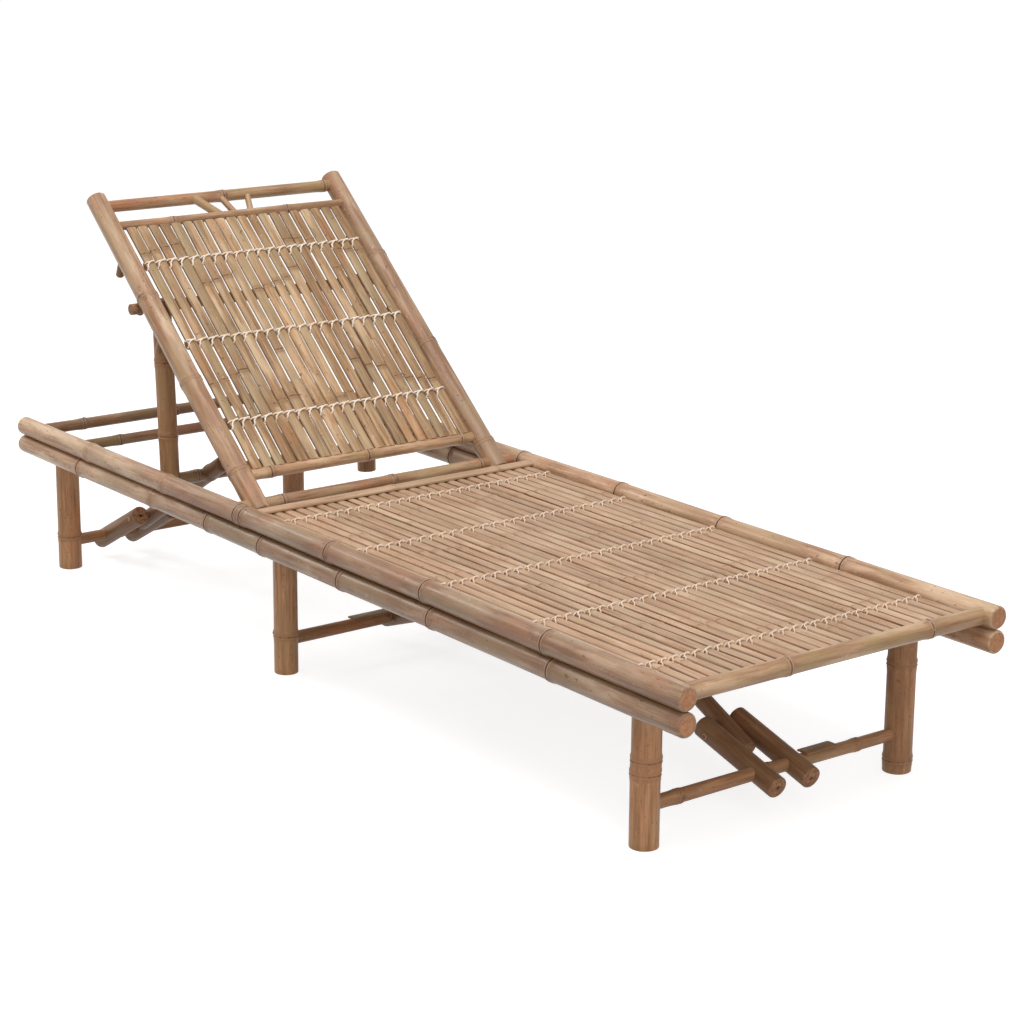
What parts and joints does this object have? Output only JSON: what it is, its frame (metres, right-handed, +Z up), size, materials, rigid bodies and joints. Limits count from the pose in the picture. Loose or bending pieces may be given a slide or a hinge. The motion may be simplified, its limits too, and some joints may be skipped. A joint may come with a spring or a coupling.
{
  "type": "folding recliner",
  "caption": "Low bamboo lounger with slatted seat, adjustable slatted backrest on a hooked prop, and folding braced legs.",
  "frame": {"origin": "on the floor, under the middle of the side rails", "axes": "+X along the rails towards the foot end, +Y towards the far side, +Z up"},
  "size_m": [2, 0.6776, 0.775],
  "materials": {
    "rail_bamboo": "peeled and lacquered bamboo pole, satin",
    "rod_bamboo": "thin lacquered bamboo pole, satin",
    "leg_bamboo": "browner lacquered bamboo pole, satin",
    "slat_bamboo": "split bamboo slats, satin, with darker node bands"
  },
  "bodies": {
    "frame": {"rail_top_near": "rail_bamboo", "rail_top_far": "rail_bamboo", "rail_low_near": "rail_bamboo", "rail_low_far": "rail_bamboo", "head_bar": "rod_bamboo", "hinge_bar": "rod_bamboo", "foot_rung": "rod_bamboo", "brace_rod_front": "rod_bamboo", "brace_rod_middle": "rod_bamboo", "prop_rod": "rod_bamboo", "leg_rod_front": "rod_bamboo", "leg_rod_middle": "rod_bamboo", "leg_rod_rear": "rod_bamboo", "seat_mat": "slat_bamboo", "seat_end_strip": "slat_bamboo"},
    "backrest": {"back_pole_near": "rail_bamboo", "back_pole_far": "rail_bamboo", "back_top_bar": "rod_bamboo", "back_bottom_rung": "rod_bamboo", "back_slat_bar": "slat_bamboo", "back_strut_1": "rod_bamboo", "back_strut_2": "rod_bamboo", "back_strut_3": "rod_bamboo", "back_mat": "slat_bamboo", "peg_near_lower": "leg_bamboo", "peg_near_middle": "leg_bamboo", "peg_near_upper": "leg_bamboo", "peg_far_lower": "leg_bamboo", "peg_far_middle": "leg_bamboo", "peg_far_upper": "leg_bamboo"},
    "prop": {"prop_leg_near": "leg_bamboo", "prop_leg_far": "leg_bamboo", "prop_bar": "rod_bamboo"},
    "front_legs": {"leg_front_near": "leg_bamboo", "leg_front_far": "leg_bamboo", "rung_front": "rod_bamboo", "tab_front": "slat_bamboo"},
    "middle_legs": {"leg_middle_near": "leg_bamboo", "leg_middle_far": "leg_bamboo", "rung_middle": "rod_bamboo", "tab_middle": "slat_bamboo"},
    "rear_legs": {"leg_rear_near": "leg_bamboo", "leg_rear_far": "leg_bamboo", "rung_rear": "rod_bamboo"},
    "front_brace_arms": {"brace_arm_front_near": "rod_bamboo", "brace_arm_front_far": "rod_bamboo"},
    "middle_brace_arms": {"brace_arm_middle_near": "rod_bamboo", "brace_arm_middle_far": "rod_bamboo"},
    "rear_brace_arms": {"brace_arm_rear_near": "rod_bamboo", "brace_arm_rear_far": "rod_bamboo"},
    "front_brace_link": {"brace_link_front": "rod_bamboo", "elbow_pin_front": "leg_bamboo"},
    "middle_brace_link": {"brace_link_middle": "rod_bamboo", "elbow_pin_middle": "leg_bamboo"},
    "rear_brace_link": {"brace_link_rear": "rod_bamboo", "elbow_pin_rear": "leg_bamboo"}
  },
  "joints": [
    {"name": "backrest_recline", "type": "hinge", "parent": "frame", "child": "backrest", "pos_m": [-0.2235, 0, 0.285], "axis": [0, 1, 0], "range_deg": [0, 98]},
    {"name": "prop_fold", "type": "hinge", "parent": "frame", "child": "prop", "pos_m": [-0.595, 0, 0.245], "axis": [0, 1, 0], "range_deg": [0, 92.8]},
    {"name": "front_legs_fold", "type": "hinge", "parent": "frame", "child": "front_legs", "pos_m": [0.8515, 0, 0.245], "axis": [0, 1, 0], "range_deg": [0, 79]},
    {"name": "front_arms_fold", "type": "hinge", "parent": "front_legs", "child": "front_brace_arms", "pos_m": [0.8515, -0.002, 0.065], "axis": [0, 1, 0], "range_deg": [0, 65.7]},
    {"name": "front_link_fold", "type": "hinge", "parent": "frame", "child": "front_brace_link", "pos_m": [0.42, -0.002, 0.245], "axis": [0, -1, 0], "range_deg": [0, 25.2]},
    {"name": "middle_legs_fold", "type": "hinge", "parent": "frame", "child": "middle_legs", "pos_m": [-0.13, 0, 0.245], "axis": [0, -1, 0], "range_deg": [0, 79]},
    {"name": "middle_arms_fold", "type": "hinge", "parent": "middle_legs", "child": "middle_brace_arms", "pos_m": [-0.13, 0.015, 0.06], "axis": [0, -1, 0], "range_deg": [0, 66.2]},
    {"name": "middle_link_fold", "type": "hinge", "parent": "frame", "child": "middle_brace_link", "pos_m": [0.3, 0.015, 0.245], "axis": [0, 1, 0], "range_deg": [0, 23.7]},
    {"name": "rear_legs_fold", "type": "hinge", "parent": "frame", "child": "rear_legs", "pos_m": [-0.929, 0, 0.245], "axis": [0, -1, 0], "range_deg": [0, 79]},
    {"name": "rear_arms_fold", "type": "hinge", "parent": "rear_legs", "child": "rear_brace_arms", "pos_m": [-0.929, -0.138, 0.0535], "axis": [0, -1, 0], "range_deg": [0, 58.4]},
    {"name": "rear_link_fold", "type": "hinge", "parent": "frame", "child": "rear_brace_link", "pos_m": [-0.595, -0.138, 0.245], "axis": [0, 1, 0], "range_deg": [0, 29.5]}
  ],
  "couplings": [
    {"joint": "prop_fold", "follows": "backrest_recline", "ratio": 0.9465},
    {"joint": "front_arms_fold", "follows": "front_legs_fold", "ratio": 0.83092},
    {"joint": "front_link_fold", "follows": "front_legs_fold", "ratio": 0.3174},
    {"joint": "middle_arms_fold", "follows": "middle_legs_fold", "ratio": 0.83687},
    {"joint": "middle_link_fold", "follows": "middle_legs_fold", "ratio": 0.29833},
    {"joint": "rear_arms_fold", "follows": "rear_legs_fold", "ratio": 0.73779},
    {"joint": "rear_link_fold", "follows": "rear_legs_fold", "ratio": 0.37261}
  ]
}
